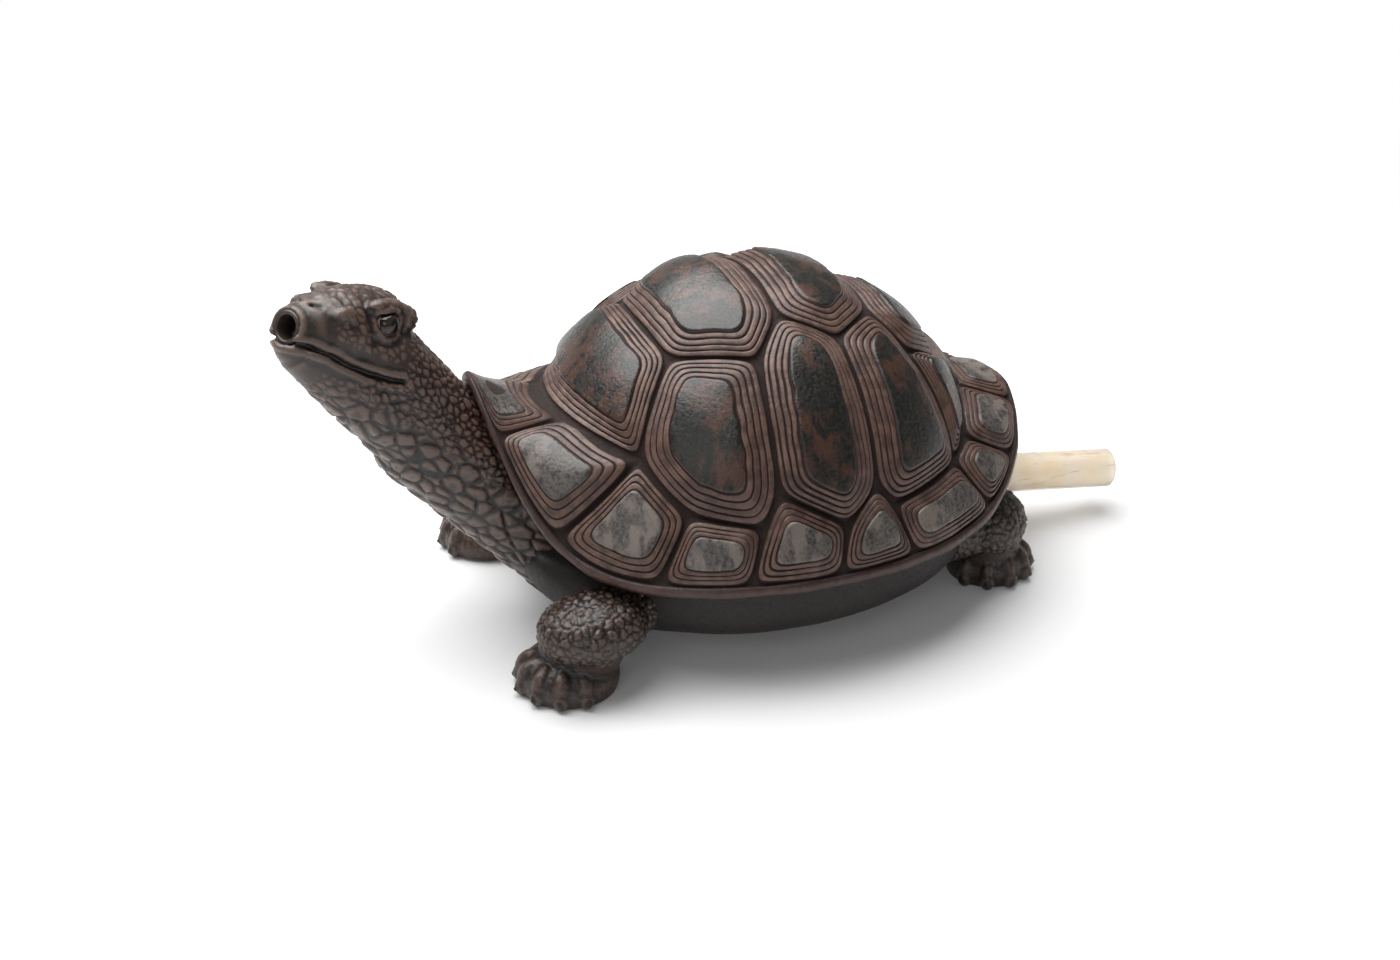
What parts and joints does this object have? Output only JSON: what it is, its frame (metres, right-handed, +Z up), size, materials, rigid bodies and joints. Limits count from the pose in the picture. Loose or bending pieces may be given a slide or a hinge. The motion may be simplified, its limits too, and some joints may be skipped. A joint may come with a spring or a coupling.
{
  "type": "turtle figurine",
  "caption": "Cast tortoise figurine with scute-ringed shell, raised and turned head with a round spout in the mouth, and a pale hose stub at the rear; stands flat on its feet as a pond spitter",
  "frame": {"origin": "on the ground, under the middle of the whole object's box", "axes": "+Z up; the head points towards -Y and the hose towards +Y; the tortoise's own left side is +X"},
  "size_m": [0.1752, 0.3408, 0.1434],
  "materials": {
    "shell_resin": "painted cast resin, dark brown with paler ridges, half gloss",
    "body_resin": "painted cast resin, smooth dark brown",
    "skin_resin": "painted cast resin, scaly dark brown, half gloss",
    "eye_gloss": "glossy bead",
    "pipe_plastic": "black pipe",
    "nozzle_plastic": "dark sleeve",
    "hose_vinyl": "yellowed see-through soft vinyl"
  },
  "bodies": {
    "root": {"carapace": "shell_resin", "body_shell": "body_resin", "plastron_plate": "body_resin", "head_and_neck": "skin_resin", "front_left_leg": "skin_resin", "front_right_leg": "skin_resin", "rear_left_leg": "skin_resin", "rear_right_leg": "skin_resin", "tail": "skin_resin", "eye_left": "eye_gloss", "eye_right": "eye_gloss", "water_pipe": "pipe_plastic", "mouth_nozzle": "nozzle_plastic", "inlet_hose": "hose_vinyl"}
  },
  "joints": []
}
